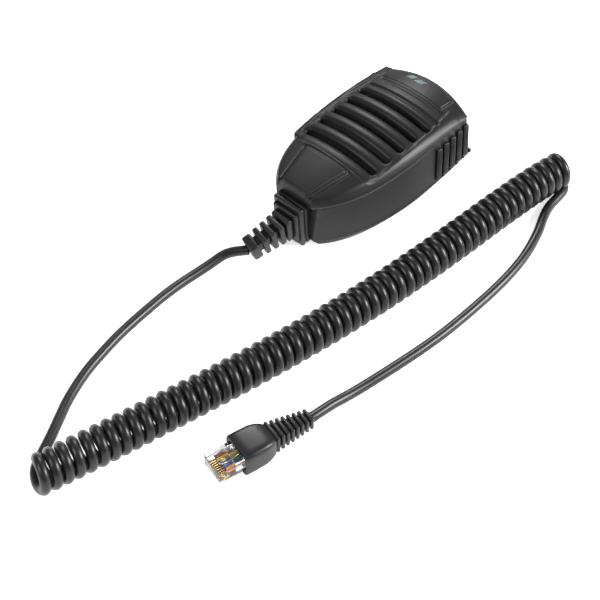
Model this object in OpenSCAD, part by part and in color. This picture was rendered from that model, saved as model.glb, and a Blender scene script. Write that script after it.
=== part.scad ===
// Hand microphone for an amateur radio: loudspeaker microphone with a
// push-to-talk button, a curly cord and an eight-way modular plug.
// Millimetres. +Z up. The microphone lies on its hang-up button and on the
// foot of its strain relief, its cord end towards -Y. The origin is under
// the middle of the case, on the surface that it lies on.

/* [Case] */
// Width of the rear shell at its widest
case_w = 59.4; // [54:0.2:66]
// Length of the case from the cord end to the top edge
case_l = 96; // [90:1:104]
// Depth of the case from its back to the crown of the face
case_h = 32.5; // [30:0.5:36]
// Height of the parting line above the back
seam_z = 23; // [21:0.5:24]
// Wall of both shells
wall = 2; // [1.6:0.1:2.4]
// Radius of the case's top corners
corner_r = 7; // [5:0.5:9]
// Radius of the arc along the top edge
top_r = 42; // [36:1:60]
// Gap of the parting line
seam_gap = 0.3; // [0.2:0.1:0.5]

/* [Grille] */
// Number of open slots
slot_n = 5; // [3:1:5]
// Width of an open slot
slot_w = 3.4; // [2.6:0.1:3.8]
// Length of an open slot
slot_l = 42; // [36:1:42]
// Distance from one slot to the next
slot_pitch = 8.6; // [7.6:0.1:9]
// Distance between the two blind grooves and the slots
groove_pitch = 7.2; // [6.6:0.1:8]
// Depth of the blind grooves
groove_depth = 0.9; // [0.6:0.1:1.2]

/* [Push-to-talk button] */
// Length of the button along the case
ptt_l = 26; // [22:1:30]
// Height of the button
ptt_h = 12; // [10:0.5:13]
// How far the button stands out of the case
ptt_out = 3.2; // [2:0.2:4]
// Travel of the button
ptt_travel = 1.5; // [1:0.1:1.8]
// Gap round the button in its window
ptt_gap = 0.35; // [0.3:0.05:0.5]

/* [Loudspeaker] */
// Diameter of the loudspeaker's basket
speaker_d = 36; // [32:1:38]
// Depth of the loudspeaker without its magnet
speaker_h = 4.2; // [3.6:0.2:4.8]
// Diameter of the magnet
magnet_d = 17; // [14:1:20]
// Thickness of the foam ring on the loudspeaker
gasket_t = 1.2; // [0.8:0.1:1.6]

/* [Circuit board] */
// Width of the circuit board
board_w = 31; // [28:1:32]
// Length of the circuit board
board_l = 62; // [56:1:64]
// Thickness of the circuit board
board_t = 1.6; // [1.2:0.2:1.6]
// Height of the board's underside above the back of the case
board_z = 9; // [8:0.5:10]

/* [Hang-up button] */
// Radius of the button's head
hang_r = 6.5; // [5.5:0.1:7]
// Thickness of the button's head
hang_head = 2.4; // [2:0.1:3]
// Radius of the button's neck
hang_neck_r = 3.6; // [3:0.1:4]
// Length of the button's neck, the room for a hanger plate
hang_neck = 2.6; // [2:0.1:3.4]

/* [Strain relief] */
// Width of the collar against the case
collar_w = 17; // [15:0.5:19]
// Height of the collar
collar_h = 23; // [21:0.5:24]
// Number of ribs between the collar and the end block
relief_ribs = 3; // [3:1:4]
// Distance from one rib to the next
relief_pitch = 4.1; // [4:0.1:4.6]

/* [Cord and plug] */
// Diameter of the cord
cord_d = 4.6; // [4:0.1:5]
// Outer diameter of the curly part
coil_d = 18; // [16:0.5:20]
// Width of the plug's rubber hood
hood_w = 15.4; // [14:0.2:16]
// Height of the plug's rubber hood
hood_h = 12.4; // [11.4:0.2:13]
// Length of the plug's rubber hood
hood_l = 16; // [14:0.5:18]
// Width of the eight-way modular plug
plug_w = 11.7; // [11.6:0.1:11.7]
// How far the plug stands out of its hood
plug_out = 11.5; // [10:0.5:12.5]

/* [Hidden] */
$fn = 48;
EPS = 0.01;

// --- places worked out from the sizes --------------------------------------
half_w = case_w / 2;
half_l = case_l / 2;
widest_y = 5;                     // station of the widest section
nose_b = 58;                      // half length of the ellipse of the cord end
side_taper = 1.2;                 // loss of half width from there to the corners
flare = 2.7;                      // the rear shell widens this much to its back
crown_rx = 73;                    // crown of the face across the case
crown_ry = 250;                   // crown of the face along the case
crown_y = -4;                     // station of the highest point
slots_y = 1;                      // station of the middle slot
ring_n = 10;                      // points on each quarter stretch of an outline
clear = 0.3;                      // clearance between pieces that come apart
snug = 0.05;                      // clearance of a seated piece
rib_out = 0.6;                    // grip ribs stand out on the right
foot = 3;                         // height of the rear shell's lower chamfer

// The face's height at a place on the case
function face_z(x, y) =
    case_h - x * x / (2 * crown_rx) - pow(y - crown_y, 2) / (2 * crown_ry);

// Centre of a top corner's arc, tangent to the side and to the top arc
corner_x = half_w - side_taper - corner_r;
top_cy = half_l - top_r;
corner_y = top_cy + sqrt(pow(top_r - corner_r, 2) - pow(corner_x, 2));
corner_a = atan2(corner_y - top_cy, corner_x);

// Half width of the case at station y, less an inset g
function side_x(y, g) = y < widest_y
    ? (half_w - g) * sqrt(max(0, 1 - pow((y - widest_y) / (nose_b - g), 2)))
    : half_w - g - side_taper * pow((y - widest_y) / (corner_y - widest_y), 2);

// Right half of the case's outline, from the cord end to the top
function half_outline(g) = let (y0 = -half_l + g) concat(
    [for (i = [0 : ring_n]) let (
        y = y0 + (widest_y - y0) * (1 - pow(1 - i / ring_n, 1.6)))
        [side_x(y, g), y]],
    [for (i = [1 : ring_n / 2]) let (
        y = widest_y + (corner_y - widest_y) * i / (ring_n / 2))
        [side_x(y, g), y]],
    [for (i = [1 : ring_n / 2]) let (a = corner_a * i / (ring_n / 2))
        [corner_x + max(0.5, corner_r - g) * cos(a),
         corner_y + max(0.5, corner_r - g) * sin(a)]],
    [for (i = [1 : ring_n / 2]) let (
        a = corner_a + (90 - corner_a) * i / (ring_n / 2),
        r = max(top_r - g, norm([corner_x, corner_y - top_cy]) + 0.5))
        [r * cos(a), top_cy + r * sin(a)]]);
function outline(g) = let (h = half_outline(g), n = len(h))
    concat(h, [for (i = [n - 2 : -1 : 0]) [-h[i].x, h[i].y]]);

// A closed solid through rings of equal count, with an apex over the last one
// where its cap isn't flat
module skin(rings, apex = []) {
    n = len(rings[0]);
    m = len(rings);
    points = concat([for (r = rings) each r], apex == [] ? [] : [apex]);
    bottom = [[for (i = [0 : n - 1]) i]];
    top = apex == []
        ? [[for (i = [n - 1 : -1 : 0]) (m - 1) * n + i]]
        : [for (i = [0 : n - 1]) [m * n, (m - 1) * n + (i + 1) % n, (m - 1) * n + i]];
    sides = [for (k = [0 : m - 2], i = [0 : n - 1]) let (
        a = k * n + i, b = k * n + (i + 1) % n, c = b + n, d = a + n)
        each [[a, c, b], [a, d, c]]];
    polyhedron(points, concat(bottom, sides, top), convexity = 6);
}
function flat_ring(g, z) = [for (p = outline(g)) [p.x, p.y, z]];

// A ring part of the way, f, from the height z to the face less d
function face_ring(g, z, f, d) = [for (p = outline(g)) [p.x, p.y,
    z + f * (face_z(p.x, p.y) - d - z)]];

// A ring on the face less d, shrunk to the fraction s about the crown
function cap_ring(g, s, d) = [for (p = outline(g)) let (
    x = p.x * s, y = crown_y + (p.y - crown_y) * s) [x, y, face_z(x, y) - d]];

// Outer form of the front shell, inset by g and lowered by d from the face
module front_form(g, d, z0) {
    skin([
        flat_ring(flare + g, z0),
        face_ring(flare + 0.3 + g, z0, 0.35, d),
        face_ring(flare + 1.3 + g, z0, 0.75, d),
        face_ring(flare + 2.6 + g, z0, 0.95, d),
        cap_ring(flare + 4 + g, 1, d),
        cap_ring(flare + 4 + g, 0.6, d)
    ], [0, crown_y, face_z(0, crown_y) - d]);
}

// Outer form of the rear shell, inset by g, from z0 to z1
module rear_form(g, z0, z1) {
    skin([
        flat_ring(2.4 + g, z0),
        flat_ring(0.6 + g, z0 + 1.4),
        flat_ring(g, z0 + foot),
        flat_ring(g + flare, z1)
    ]);
}

// The tilt at which the case rests on the hang-up button and the collar
hang_y = 20;
hang_drop = hang_neck + hang_head;
collar_y = -half_l - 5;
tilt = atan(hang_drop / (hang_y - hang_r - collar_y));
rest_z = -collar_y * sin(tilt);
ptt_face_x = -half_w - ptt_out + side_taper * 0.4 + 0.4;
place_x = -(ptt_face_x + half_w) / 2;
place_y = foot * sin(tilt);

// Puts a piece of the microphone where it lies
module lay() {
    translate([place_x, place_y, rest_z])
        rotate([tilt, 0, 0]) children();
}

// --- pieces of the case ------------------------------------------------------
screw_sites = [[17, 35], [-17, 35], [13.5, -31], [-13.5, -31]];
boss_r = 3;
pilot_r = 1.05;
speaker_y = slots_y;
speaker_top = face_z(slot_l / 2, speaker_y + slot_pitch * 2) - wall - 1.4;
// Posts between the slots press on the loudspeaker's rim
post_y = slot_pitch * 1.5;
post_x = sqrt(pow(speaker_d / 2 - 0.8, 2) - pow(post_y, 2));

// The slots and grooves run across the face
module bar(y, w, l, z0, z1) {
    hull() for (x = [-1, 1])
        translate([x * (l - w) / 2, y, z0]) cylinder(d = w, h = z1 - z0, $fn = 24);
}

// A raised rail along the left edge of the face
rail_r = 1.1;                     // half the rail's width
rail_out = 0.7;                   // the rail stands this much above the face
rail_y = [for (i = [0 : 8]) -22 + 7 * i];
function rail_p(y) = let (x = -(side_x(y, 0) - 4.4)) [x, y, face_z(x, y) + rail_out];
module edge_rail() {
    for (i = [0 : len(rail_y) - 2]) hull() for (y = [rail_y[i], rail_y[i + 1]])
        translate([rail_p(y).x, y, seam_z + 1])
            cylinder(r = rail_r, h = rail_p(y).z - seam_z - 1, $fn = 16);
}

// A blind groove of constant depth across the crowned face
module blind_groove(y, l) {
    zc = face_z(0, y) - crown_rx;
    intersection() {
        translate([0, y + 0.8, zc]) rotate([90, 0, 0]) difference() {
            cylinder(r = crown_rx + 3, h = 1.6, $fn = 96);
            translate([0, 0, -1])
                cylinder(r = crown_rx - groove_depth, h = 4, $fn = 96);
        }
        translate([-l / 2, y - 2, case_h - 12]) cube([l, 4, 14]);
    }
}

badge_y0 = slots_y + slot_pitch * (slot_n - 1) / 2 + 2 * groove_pitch;
badge_y1 = half_l - 5;
module badge_outline(g) {
    intersection() {
        translate([0, top_cy + 1]) circle(r = top_r - 5 - g, $fn = 96);
        translate([-18.5 + g, badge_y0 + 1.6 + g])
            square([37 - 2 * g, badge_y1 - badge_y0]);
    }
}
// The badge follows the crown, in a seat of constant depth
badge_t = 0.6;
module badge_slice(g, top, depth) {
    difference() {
        intersection() {
            translate([0, 0, seam_z]) linear_extrude(case_h) badge_outline(g);
            front_form(-1, top, seam_z - 1);
        }
        front_form(-2, depth, seam_z - 2);
    }
}

module front_shell() {
    color("dimgray") lay() difference() {
        union() {
            front_form(0, 0, seam_z + seam_gap);
            edge_rail();
        }
        difference() {
            front_form(wall, wall, seam_z - EPS);
            for (p = screw_sites)
                translate([p.x, p.y, seam_z - 2]) cylinder(r = boss_r, h = 20);
            for (x = [-1, 1], y = [-1, 1])
                translate([x * post_x, speaker_y + y * post_y, speaker_top])
                    cylinder(r = 1.6, h = 12, $fn = 20);
        }
        for (i = [0 : slot_n - 1])
            bar(slots_y + (i - (slot_n - 1) / 2) * slot_pitch, slot_w, slot_l,
                seam_z, case_h + 2);
        for (k = [1, 2])
            blind_groove(slots_y + slot_pitch * (slot_n - 1) / 2
                + k * groove_pitch, slot_l);
        badge_slice(-0.15, -3, badge_t + 0.1);
        for (p = screw_sites)
            translate([p.x, p.y, seam_z - 3]) cylinder(r = pilot_r, h = 5.5);
    }
}

module name_badge() {
    color("slategray") lay() badge_slice(0, 0.05, badge_t + 0.05);
}

module dust_felt() {
    color("black") lay()
        translate([0, speaker_y, speaker_top - 0.45])
            cylinder(d = speaker_d + 1.4, h = 0.4);
}

// The window for the push-to-talk button
ptt_y = 26;
ptt_z = 12.5;
module ptt_window(g) {
    translate([-half_w - 6, ptt_y - ptt_l / 2 - g, ptt_z - ptt_h / 2 - g])
        cube([14, ptt_l + 2 * g, ptt_h + 2 * g]);
}

// Slanted grip ribs on the side across from the button
module grip_ribs() {
    for (i = [0 : 4])
        translate([half_w - flare - 2.2, 18 + i * 5, 4])
            rotate([0, 0, -4]) cube([flare + 2.2 + rib_out - 2, 2.2, 14]);
}

module rear_shell() {
    color([0.16, 0.16, 0.17]) lay() difference() {
        union() {
            difference() {
                rear_form(0, 0, seam_z);
                difference() {
                    translate([0, 0, wall]) rear_form(wall, 0, seam_z - wall + 0.5);
                    for (p = screw_sites)
                        translate([p.x, p.y, 0]) cylinder(r = boss_r, h = seam_z);
                    for (p = board_sites)
                        translate([p.x, p.y, 0]) cylinder(r = 2.4, h = board_z);
                    translate([0, hang_y, 0]) cylinder(r = 4.2, h = wall + 3);
                    for (s = [-1, 1])
                        translate([s * clamp_x, clamp_y, 0])
                            cylinder(r = 2.2, h = clamp_z);
                }
            }
            intersection() {
                grip_ribs();
                rear_form(-rib_out, 0, seam_z);
            }
        }
        ptt_window(ptt_gap);
        for (p = screw_sites) {
            translate([p.x, p.y, -1]) cylinder(r = 1.6, h = seam_z + 2);
            translate([p.x, p.y, -1]) cylinder(r = 3 - 0.3, h = 1 + 2.6);
        }
        for (p = board_sites)
            translate([p.x, p.y, board_z - 5]) cylinder(r = pilot_r, h = 6);
        translate([0, hang_y, -1]) cylinder(r = 1.3, h = wall + 3.5);
        for (s = [-1, 1])
            translate([s * clamp_x, clamp_y, clamp_z - 4])
                cylinder(r = pilot_r, h = 5);
        relief_socket(clear / 2);
        translate([0, rating_y, -EPS]) linear_extrude(0.5) rating_outline(0);
    }
}

// A blank label plate, recessed into the back
rating_y = -12;
module rating_outline(g) {
    translate([-13 + g, -9 + g]) square([26 - 2 * g, 18 - 2 * g]);
}
module rating_plate() {
    color("silver") lay() translate([0, rating_y, 0.05])
        linear_extrude(0.4) rating_outline(0.2);
}

// Screws come in from the back, their heads in the counterbores
module pan_screw(r_head, h_head, r, l) {
    difference() {
        cylinder(r = r_head, h = h_head);
        for (a = [0, 90]) rotate(a)
            translate([-r_head * 0.6, -0.35, -EPS]) cube([r_head * 1.2, 0.7, 0.8]);
    }
    translate([0, 0, h_head - EPS]) cylinder(r = r, h = l);
}
module case_screws() {
    color("silver") lay() for (p = screw_sites)
        translate([p.x, p.y, 2.58 - 1.9]) pan_screw(2.5, 1.9, pilot_r - snug, seam_z - 0.4);
}

// --- sound pieces ------------------------------------------------------------
gasket_z = speaker_top - 0.5 - gasket_t;
speaker_z = gasket_z - speaker_h;
module speaker_gasket() {
    color("black") lay() translate([0, speaker_y, gasket_z]) difference() {
        cylinder(d = speaker_d, h = gasket_t - 0.02);
        translate([0, 0, -1]) cylinder(d = speaker_d - 5, h = gasket_t + 2);
    }
}
module speaker_basket() {
    color("gray") lay() translate([0, speaker_y, speaker_z]) difference() {
        union() {
            translate([0, 0, speaker_h - 1.2])
                cylinder(d = speaker_d, h = 1.2 - 0.02);
            cylinder(d1 = magnet_d + 5, d2 = speaker_d - 4, h = speaker_h - 1.1);
        }
        translate([0, 0, 1.2])
            cylinder(d1 = magnet_d + 2, d2 = speaker_d - 4.6, h = speaker_h - 1.2 + EPS);
        for (a = [45 : 90 : 315]) rotate(a)
            translate([magnet_d / 2 + 3.6, 0, -1]) cylinder(r = 1.2, h = 3.6);
    }
}
module speaker_cone() {
    color([0.2, 0.18, 0.15]) lay() translate([0, speaker_y, speaker_z]) {
        rotate_extrude() polygon([[0, 1.3], [5, 1.3], [magnet_d / 2, 1.5],
            [speaker_d / 2 - 3.8, speaker_h - 0.6], [speaker_d / 2 - 3.8, speaker_h - 0.2],
            [8, 1.9], [5.4, 1.9], [4, 2.6], [0, 3.1]]);
    }
}
magnet_h = min(4, speaker_z - board_z - board_t - 0.5);
module speaker_magnet() {
    color("silver") lay() translate([0, speaker_y, speaker_z - magnet_h])
        cylinder(d = magnet_d, h = magnet_h - 0.02);
}

// --- circuit board -----------------------------------------------------------
board_y = 3;
board_sites = [[10, board_y + 26], [-10, board_y - 26]];
module circuit_board() {
    color("darkgreen") lay() difference() {
        translate([-board_w / 2, board_y - board_l / 2, board_z + 0.02])
            cube([board_w, board_l, board_t]);
        for (p = board_sites)
            translate([p.x, p.y, board_z - 1]) cylinder(r = 1.25, h = 5);
        for (p = screw_sites)
            translate([p.x, p.y, board_z - 1]) cylinder(r = boss_r + 0.5, h = 5);
    }
}
module board_chips() {
    top = board_z + board_t + 0.04;
    color([0.1, 0.1, 0.1]) lay() {
        translate([-12, -20, top]) cube([6, 5, 1.5]);
        translate([6, -21, top]) cube([4, 4, 1.2]);
        for (i = [0 : 3]) translate([6 + 2.2 * i - 4, 22, top]) cube([1.2, 2, 0.8]);
        for (p = [[-12.5, -8], [-8, 17]])
            translate([p.x, p.y, top]) cylinder(r = 1.8, h = 3.2);
    }
}
module board_screws() {
    color("silver") lay() for (p = board_sites)
        translate([p.x, p.y, board_z + board_t + 0.05 + 1.4])
            mirror([0, 0, 1]) pan_screw(2, 1.4, pilot_r - snug, 4.5 + board_t - 0.3);
}

// The switch is at the board's left edge, and its plunger faces the button
switch_x = -board_w / 2 + 1;
switch_z = board_z + board_t + 0.05;
plunger_z = ptt_z;
module ptt_switch() {
    color([0.12, 0.12, 0.14]) lay() difference() {
        translate([switch_x - 5, ptt_y - 5, switch_z]) cube([8, 10, 5]);
        translate([switch_x - 6, ptt_y, plunger_z + 1]) rotate([0, 90, 0])
            cylinder(r = 1.6, h = 5);
    }
}
plunger_gap = 0.25;
module switch_plunger() {
    color("white") lay() translate([switch_x - 7.5, ptt_y, plunger_z + 1])
        rotate([0, 90, 0]) cylinder(r = 1.5, h = 4.5);
}

// Button with a flange behind the wall and a nose that meets the plunger
flange_x = -half_w + flare + wall + 1.4;
module ptt_button() {
    color([0.1, 0.1, 0.1]) lay() {
        translate([flange_x, ptt_y - ptt_l / 2 - 1.2, ptt_z - ptt_h / 2 - 1])
            cube([1.2, ptt_l - 3, ptt_h + 2]);
        intersection() {
            translate([ptt_face_x, ptt_y - ptt_l / 2, ptt_z - ptt_h / 2])
                cube([flange_x - ptt_face_x + 0.2, ptt_l, ptt_h]);
            translate([ptt_face_x + 60, ptt_y, ptt_z - ptt_h])
                cylinder(r = 60, h = 2 * ptt_h, $fn = 180);
        }
        translate([flange_x + 1, ptt_y, plunger_z + 1]) rotate([0, 90, 0])
            cylinder(r = 2, h = switch_x - 7.5 - plunger_gap - flange_x - 1);
    }
}

// Electret capsule in its rubber boot, below the slots
capsule_p = [0, -17, board_z + board_t + 0.3];
module mic_boot() {
    color("black") lay() translate(capsule_p) difference() {
        cylinder(r = 4.6, h = 5.4);
        translate([0, 0, 0.8]) cylinder(r = 3.02, h = 5);
    }
}
module mic_capsule() {
    color("silver") lay() translate(capsule_p + [0, 0, 0.82]) cylinder(r = 3, h = 2.7);
}

// --- hang-up button ----------------------------------------------------------
module hang_button() {
    color([0.75, 0.75, 0.77]) lay() translate([0, hang_y, -0.01])
        mirror([0, 0, 1]) difference() {
            union() {
                cylinder(r = hang_neck_r, h = hang_neck + EPS);
                translate([0, 0, hang_neck]) cylinder(r = hang_r, h = hang_head);
            }
            translate([0, 0, -1]) cylinder(r = 1.6, h = hang_drop + 2);
            translate([0, 0, hang_drop - 1.7]) cylinder(r = 3, h = 3);
        }
}
module hang_screw() {
    color("silver") lay() translate([0, hang_y, -hang_drop + 0.1])
        pan_screw(2.7, 1.5, 1.25, hang_drop + 2.6);
}

// --- strain relief -------------------------------------------------------------
// The collar is held in a socket between the shells
relief_z = collar_h / 2;
module relief_socket(g) {
    translate([-5 - g, -half_l - 1, relief_z - 5 - g])
        cube([10 + 2 * g, 7, 10 + 2 * g]);
    translate([-8 - g, -half_l + 2.6 - g, relief_z - 7 - g])
        cube([16 + 2 * g, 2 + 2 * g, 14 + 2 * g]);
}
// Each rib follows the droop towards the surface and the lean to the left
relief_n = relief_ribs + 2;
function relief_yaw(i) = 3 + 3.2 * i;
function relief_droop(i) = 2 + 3.6 * i;
function relief_dir(i) = [-sin(relief_yaw(i)) * cos(relief_droop(i)),
    -cos(relief_yaw(i)) * cos(relief_droop(i)), -sin(relief_droop(i))];
relief_p0 = [0, collar_y - 1.8, relief_z];
function relief_p(i) = i == 0 ? relief_p0
    : relief_p(i - 1) + relief_pitch * (relief_dir(i - 1) + relief_dir(i)) / 2;
module relief_at(i) {
    translate(relief_p(i)) rotate([relief_droop(i), 0, 0])
        rotate([0, 0, -relief_yaw(i)]) children();
}
end_l = 4.6;
module strain_relief() {
    color([0.08, 0.08, 0.08]) lay() difference() {
        union() {
            translate([-collar_w / 2, collar_y, relief_z - collar_h / 2])
                cube([collar_w, 5 - 0.1, collar_h]);
            translate([-4.9, -half_l - 0.2, relief_z - 4.9]) cube([9.8, 5, 9.8]);
            translate([-7.9, -half_l + 2.6, relief_z - 6.9]) cube([15.8, 2, 13.8]);
            translate([-6.6, collar_y - 2, relief_z - 8.4]) cube([13.2, 2.1, 16.8]);
            for (i = [0 : relief_n - 1]) relief_at(i) {
                w = 10.4 - 0.45 * i;
                h = 12.6 - 0.85 * i;
                l = i == relief_n - 1 ? end_l : 2.6;
                translate([-w / 2, -l, -h / 2]) cube([w, l, h]);
                if (i < relief_n - 1)
                    translate([-3.2, -relief_pitch - 0.8, -3.2])
                        cube([6.4, relief_pitch + 1.6, 6.4]);
            }
        }
        translate([0, -half_l + 6, relief_z]) rotate([90, 0, 0])
            cylinder(d = cord_d + 0.1, h = 9);
    }
}
// Where the cord leaves the end block, in the case's own frame
relief_end = relief_p(relief_n - 1) + relief_dir(relief_n - 1) * (end_l + 0.02);

// The bare cord inside is held by a clamp with two screws
clamp_x = 7;
clamp_y = -half_l + 9.5;
clamp_z = relief_z - 2.4;
module cord_clamp() {
    color("gray") lay() difference() {
        translate([-clamp_x - 2.4, clamp_y - 2, clamp_z + 0.02])
            cube([2 * clamp_x + 4.8, 4, 6.2]);
        translate([0, clamp_y - 3, relief_z]) rotate([-90, 0, 0])
            cylinder(d = cord_d, h = 6);
        translate([-cord_d / 2, clamp_y - 3, clamp_z - 1])
            cube([cord_d, 6, relief_z - clamp_z + 1]);
        for (s = [-1, 1])
            translate([s * clamp_x, clamp_y, clamp_z - 1]) cylinder(r = 1.3, h = 9);
    }
}
module clamp_screws() {
    color("silver") lay() for (s = [-1, 1])
        translate([s * clamp_x, clamp_y, clamp_z + 6.25 + 1.2])
            mirror([0, 0, 1]) pan_screw(1.9, 1.2, pilot_r - snug, 9.4);
}
module board_header() {
    color("ivory") lay()
        translate([-5, board_y - board_l / 2 + 1, board_z + board_t + 0.05]) {
            cube([10, 4, 1]);
            for (x = [0, 9]) translate([x, 0, 0.9]) cube([1, 4, 3]);
            for (i = [0 : 3]) translate([2 + 2 * i - 0.3, 2, 0.9]) cube([0.6, 0.6, 2.6]);
        }
}
// A short stub of the cord behind the clamp, and its wires to the header
module lead_wires() {
    color([0.05, 0.05, 0.05]) lay() {
        translate([0, clamp_y + 3, relief_z]) rotate([90, 0, 0])
            cylinder(d = cord_d - 0.1, h = clamp_y + 3 + half_l - 5 + 3.9);
        for (i = [0 : 3]) translate([-1.2 + 0.8 * i, clamp_y + 2.9, relief_z])
            rotate([-90, 0, 0])
                cylinder(r = 0.35, h = board_y - board_l / 2 + 1 - 0.1 - clamp_y - 2.9,
                         $fn = 16);
    }
}

// --- cord ----------------------------------------------------------------------
// The routes lie in the part's own frame and are points chosen by hand.
lead_start = [place_x, place_y, rest_z] + [relief_end.x,
    relief_end.y * cos(tilt) - relief_end.z * sin(tilt),
    relief_end.y * sin(tilt) + relief_end.z * cos(tilt)];
cord_z = cord_d / 2 + 0.02;
lead_route = concat([lead_start], [
    [-9.5, -82, 4], [-10.8, -90, 2.8], [-11.6, -99, cord_z], [-12.1, -108, cord_z],
    [-12, -118, cord_z], [-11.2, -128, cord_z], [-10.2, -138, cord_z],
    [-8.8, -148, cord_z], [-6.7, -158, cord_z], [-4.2, -168, cord_z],
    [-1, -177, cord_z], [3, -186, cord_z], [7.5, -194, cord_z],
    [12.5, -201.5, cord_z + 0.3], [17, -207.5, cord_z + 1.2], [20.5, -213, 5]]);
coil_route = [[27, -221, 9], [28.5, -215, 9], [33, -196, 9], [38, -173.5, 9],
    [43.3, -149, 9], [48, -126, 9], [52, -104, 9], [55.6, -81, 9], [58.6, -56, 9],
    [60.8, -30, 9], [62.3, -3, 9], [63.4, 22, 9], [65, 46, 9], [67.3, 62, 9]];
tail_route = [[67.5, 54, 4], [70.5, 49, 3], [74, 42.5, cord_z], [77.6, 36, cord_z],
    [81, 28.5, cord_z], [84.2, 19.5, cord_z], [87, 9, cord_z], [88.9, -3, cord_z],
    [89.9, -15, cord_z], [90.3, -27, cord_z], [90.4, -39, cord_z],
    [90.1, -51, cord_z], [89.2, -63, cord_z], [88, -74, cord_z],
    [86.6, -85, cord_z], [85.2, -95, cord_z], [84, -104, cord_z + 0.5],
    [83.1, -112, 4]];

function unit(v) = v / norm(v);
function tangent(p, i) = unit(p[min(i + 1, len(p) - 1)] - p[max(i - 1, 0)]);
// A tube with its rings square to the route
module tube(p, d, sides, first, last) {
    rings = [for (i = [0 : len(p) - 1]) let (
        t = i == 0 && first != [] ? first
            : i == len(p) - 1 && last != [] ? last : tangent(p, i),
        s = unit(cross(t, [0, 0, 1])), u = cross(s, t))
        [for (k = [0 : sides - 1]) let (a = 360 * (k + 0.5) / sides)
            p[i] + d / 2 * (s * cos(a) + u * sin(a))]];
    skin(rings);
}
lead_dir = let (v = relief_dir(relief_n - 1)) [v.x,
    v.y * cos(tilt) - v.z * sin(tilt), v.y * sin(tilt) + v.z * cos(tilt)];
module cord_lead() {
    color([0.1, 0.1, 0.1]) tube(lead_route, cord_d, 8, lead_dir, []);
}
module cord_coil() {
    color([0.1, 0.1, 0.1]) tube(coil_route, coil_d, 12, [], []);
}
module cord_tail() {
    color([0.1, 0.1, 0.1]) tube(concat(tail_route, [plug_rear]), cord_d, 8,
        [], -plug_axis);
}

// --- plug ------------------------------------------------------------------------
// The plug lies on its hood. Its own frame has +Y from its mouth to the cord.
plug_turn = -12;                  // turn about Z of the plug's length
plug_at = [74.8, -158.4, hood_h / 2];
plug_axis = [-sin(plug_turn), cos(plug_turn), 0];
boot_l = 20;
boot_ribs = 8;
boot_drop = 1.4;                  // the boot's end sags this much
plug_rear = plug_at + (hood_l + boot_l + 0.02) * plug_axis - [0, 0, boot_drop];
module plug_place() {
    translate(plug_at) rotate([0, 0, plug_turn]) children();
}
plug_h = 6.6;
module plug_hood() {
    color([0.08, 0.08, 0.08]) plug_place() difference() {
        union() {
            translate([-hood_w / 2, 0, -hood_h / 2]) cube([hood_w, hood_l - 4, hood_h]);
            hull() {
                translate([-hood_w / 2, hood_l - 4.1, -hood_h / 2])
                    cube([hood_w, 0.1, hood_h]);
                translate([-hood_w / 2 + 2.4, hood_l - 0.2, -hood_h / 2 + 1.8])
                    cube([hood_w - 4.8, 0.1, hood_h - 3.6]);
            }
        }
        translate([-plug_w / 2 - 0.15, -1, -plug_h / 2 - 0.15])
            cube([plug_w + 0.3, 12, plug_h + 0.3]);
    }
}
module plug_boot() {
    color([0.08, 0.08, 0.08]) plug_place() for (i = [0 : boot_ribs - 1]) {
        f = i / boot_ribs;
        pitch = boot_l / boot_ribs;
        w = 10.6 - 4.4 * f;
        h = 8.4 - 2.6 * f;
        translate([0, hood_l + i * pitch, -boot_drop * f]) {
            translate([-w / 2, 0, -h / 2]) cube([w, pitch * 0.6, h]);
            translate([-w / 2 + 0.9, 0, -h / 2 + 0.9])
                cube([w - 1.8, pitch + (i < boot_ribs - 1 ? 0.1 : 0), h - 1.8]);
        }
    }
}
module plug_body() {
    color([0.85, 0.88, 0.9, 0.5]) plug_place() difference() {
        translate([-plug_w / 2, -plug_out, -plug_h / 2])
            cube([plug_w, plug_out + 10.8, plug_h]);
        for (i = [0 : 7])
            translate([(i - 3.5) * 1.02 - 0.26, -plug_out - 0.1, -plug_h / 2 - 0.1])
                cube([0.52, 5.6, 1.5]);
        translate([-plug_w / 2 + 1.2, -plug_out + 8, -plug_h / 2 + 1.2])
            cube([plug_w - 2.4, plug_out + 4, plug_h - 2.4]);
        // relief under the latch
        translate([-3.4, -plug_out + 2.2, plug_h / 2 - 0.8])
            cube([6.8, plug_out + 9, 1]);
    }
}
module plug_contacts() {
    color("gold") plug_place() for (i = [0 : 7])
        translate([(i - 3.5) * 1.02 - 0.2, -plug_out + 0.3, -plug_h / 2 + 0.1])
            cube([0.4, 5, 1.25]);
}
module plug_wires() {
    color("gold") plug_place() for (i = [0 : 7])
        translate([(i - 3.5) * 1.02, -plug_out + 8.2, 0.2]) rotate([-90, 0, 0])
            cylinder(r = 0.42, h = plug_out + 1, $fn = 16);
}
// The latch is a sprung tongue whose root is at the plug's mouth
latch_rise = 8;                   // slope of the tongue from its root
latch_root = 2.6;                 // distance of its root from the mouth
latch_l = plug_out - latch_root - 0.4;
module plug_latch() {
    color([0.85, 0.88, 0.9, 0.5]) plug_place()
        translate([0, -plug_out + latch_root, plug_h / 2 + 0.15])
            rotate([latch_rise, 0, 0]) translate([-3, 0, -0.4])
                cube([6, latch_l, 0.9]);
}

front_shell();
name_badge();
dust_felt();
rear_shell();
rating_plate();
speaker_gasket();
speaker_basket();
speaker_cone();
speaker_magnet();
circuit_board();
board_chips();
board_screws();
ptt_switch();
switch_plunger();
ptt_button();
mic_capsule();
mic_boot();
case_screws();
hang_button();
hang_screw();
strain_relief();
cord_clamp();
clamp_screws();
board_header();
lead_wires();
cord_lead();
cord_coil();
cord_tail();
plug_hood();
plug_boot();
plug_body();
plug_contacts();
plug_wires();
plug_latch();
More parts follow.
